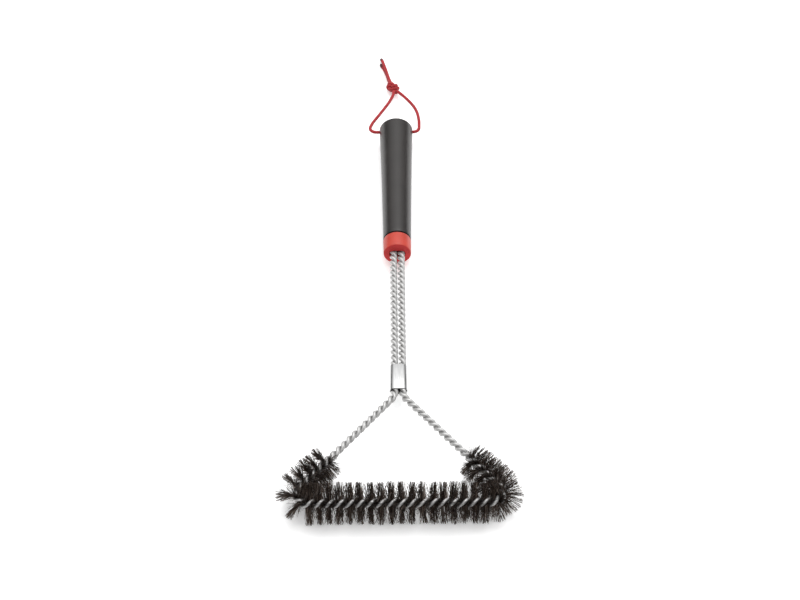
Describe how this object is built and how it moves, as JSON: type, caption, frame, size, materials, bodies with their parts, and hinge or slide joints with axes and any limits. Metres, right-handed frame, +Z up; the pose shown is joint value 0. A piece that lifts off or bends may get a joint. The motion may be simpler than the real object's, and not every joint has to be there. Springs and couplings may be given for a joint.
{
  "type": "grill cleaning brush",
  "caption": "Three-sided grill cleaning brush: twisted-wire stem and triangular head, dense steel bristles, tapered round grip, red collar and a knotted hanging cord.",
  "frame": {"origin": "centre of the brush's outline without the cord, on the surface that it lies on", "axes": "+Y from the brush head to the handle along the stem, +Z up from the surface, +X to the right"},
  "size_m": [0.2007, 0.5867, 0.0356],
  "materials": {
    "grip": "satin black moulding with a very fine texture",
    "collar": "red moulding, semi-gloss",
    "core": "glass-filled nylon, grey",
    "ferrule": "polished stainless steel",
    "wire": "bright drawn stainless wire",
    "bristle": "dark oil-finished stainless filament",
    "cord": "red braided polyester",
    "cord_tip": "heat-sealed cord end, dark"
  },
  "bodies": {
    "brush": {"handle_grip": "grip", "front_collar": "collar", "anchor_core": "core", "tail_crimp": "ferrule", "neck_ferrule": "ferrule", "wire_a": "wire", "wire_b": "wire", "left_leg_bristles_1": "bristle", "left_leg_bristles_2": "bristle", "left_corner_bristles_1": "bristle", "left_corner_bristles_2": "bristle", "bar_bristles_1": "bristle", "bar_bristles_2": "bristle", "bar_bristles_3": "bristle", "bar_bristles_4": "bristle", "bar_bristles_5": "bristle", "bar_bristles_6": "bristle", "bar_bristles_7": "bristle", "bar_bristles_8": "bristle", "right_corner_bristles_1": "bristle", "right_corner_bristles_2": "bristle", "right_leg_bristles_1": "bristle", "right_leg_bristles_2": "bristle"},
    "lanyard": {"cord_in_handle": "cord", "cord_left": "cord", "cord_right": "cord", "cord_knot": "cord", "cord_tail_long": "cord", "cord_tail_short": "cord", "cord_tip_long": "cord_tip", "cord_tip_short": "cord_tip"}
  },
  "joints": [
    {"name": "lanyard_swing", "type": "hinge", "parent": "brush", "child": "lanyard", "pos_m": [0, 0.22825, 0.0161], "axis": [1, 0, 0], "range_deg": [0, 150]}
  ]
}
